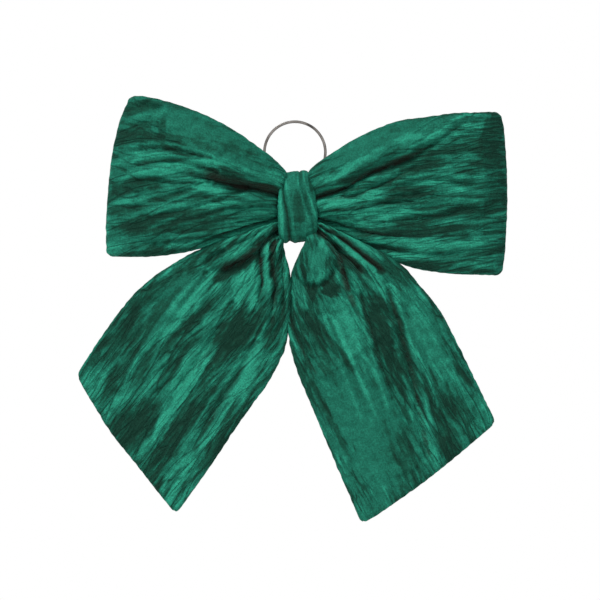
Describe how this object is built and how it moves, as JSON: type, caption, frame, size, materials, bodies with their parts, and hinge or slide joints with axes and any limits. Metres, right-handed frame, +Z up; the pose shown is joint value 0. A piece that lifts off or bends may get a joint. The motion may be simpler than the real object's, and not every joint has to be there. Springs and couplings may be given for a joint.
{
  "type": "gift bow",
  "caption": "Padded velvet bow with two open loops and two tails, gathered in a pleated knot and hung by a tape tab from a steel split ring.",
  "frame": {"origin": "the point inside the top of the split ring that bears on the hook it hangs from", "axes": "+Z up, +Y out of the back of the bow, +X to the right as the bow is seen from the front, looking along +Y"},
  "size_m": [0.2668, 0.0356, 0.2654],
  "materials": {
    "velvet": "crushed velvet pile",
    "wadding": "needled polyester wadding",
    "thread": "spun polyester",
    "tape": "woven grosgrain",
    "steel": "polished nickel plate"
  },
  "bodies": {
    "ring": {"split_ring": "steel"},
    "tab": {"ring_tab": "tape"},
    "bow": {"loop_cover": "velvet", "loop_wadding": "wadding", "loop_gather_thread": "thread", "knot_wrap": "velvet", "knot_closing_stitches": "thread", "ring_tab_stitches": "thread"},
    "left_tail": {"left_tail_cover": "velvet", "left_tail_wadding": "wadding", "left_tail_gather_thread": "thread"},
    "right_tail": {"right_tail_cover": "velvet", "right_tail_wadding": "wadding", "right_tail_gather_thread": "thread"}
  },
  "joints": [
    {"name": "ring_spin", "type": "hinge", "parent": "ring", "child": "tab", "pos_m": [0, 0, -0.0183], "axis": [0, 1, 0], "continuous": true},
    {"name": "bow_swing", "type": "hinge", "parent": "tab", "child": "bow", "pos_m": [0, 0, -0.04595], "axis": [1, 0, 0], "range_deg": [0, 160]},
    {"name": "left_tail_flap", "type": "hinge", "parent": "bow", "child": "left_tail", "pos_m": [0, -0.01685, -0.0652], "axis": [1, 0, 0], "range_deg": [-25, 5]},
    {"name": "right_tail_flap", "type": "hinge", "parent": "bow", "child": "right_tail", "pos_m": [0, -0.01685, -0.0652], "axis": [1, 0, 0], "range_deg": [-25, 5]}
  ]
}
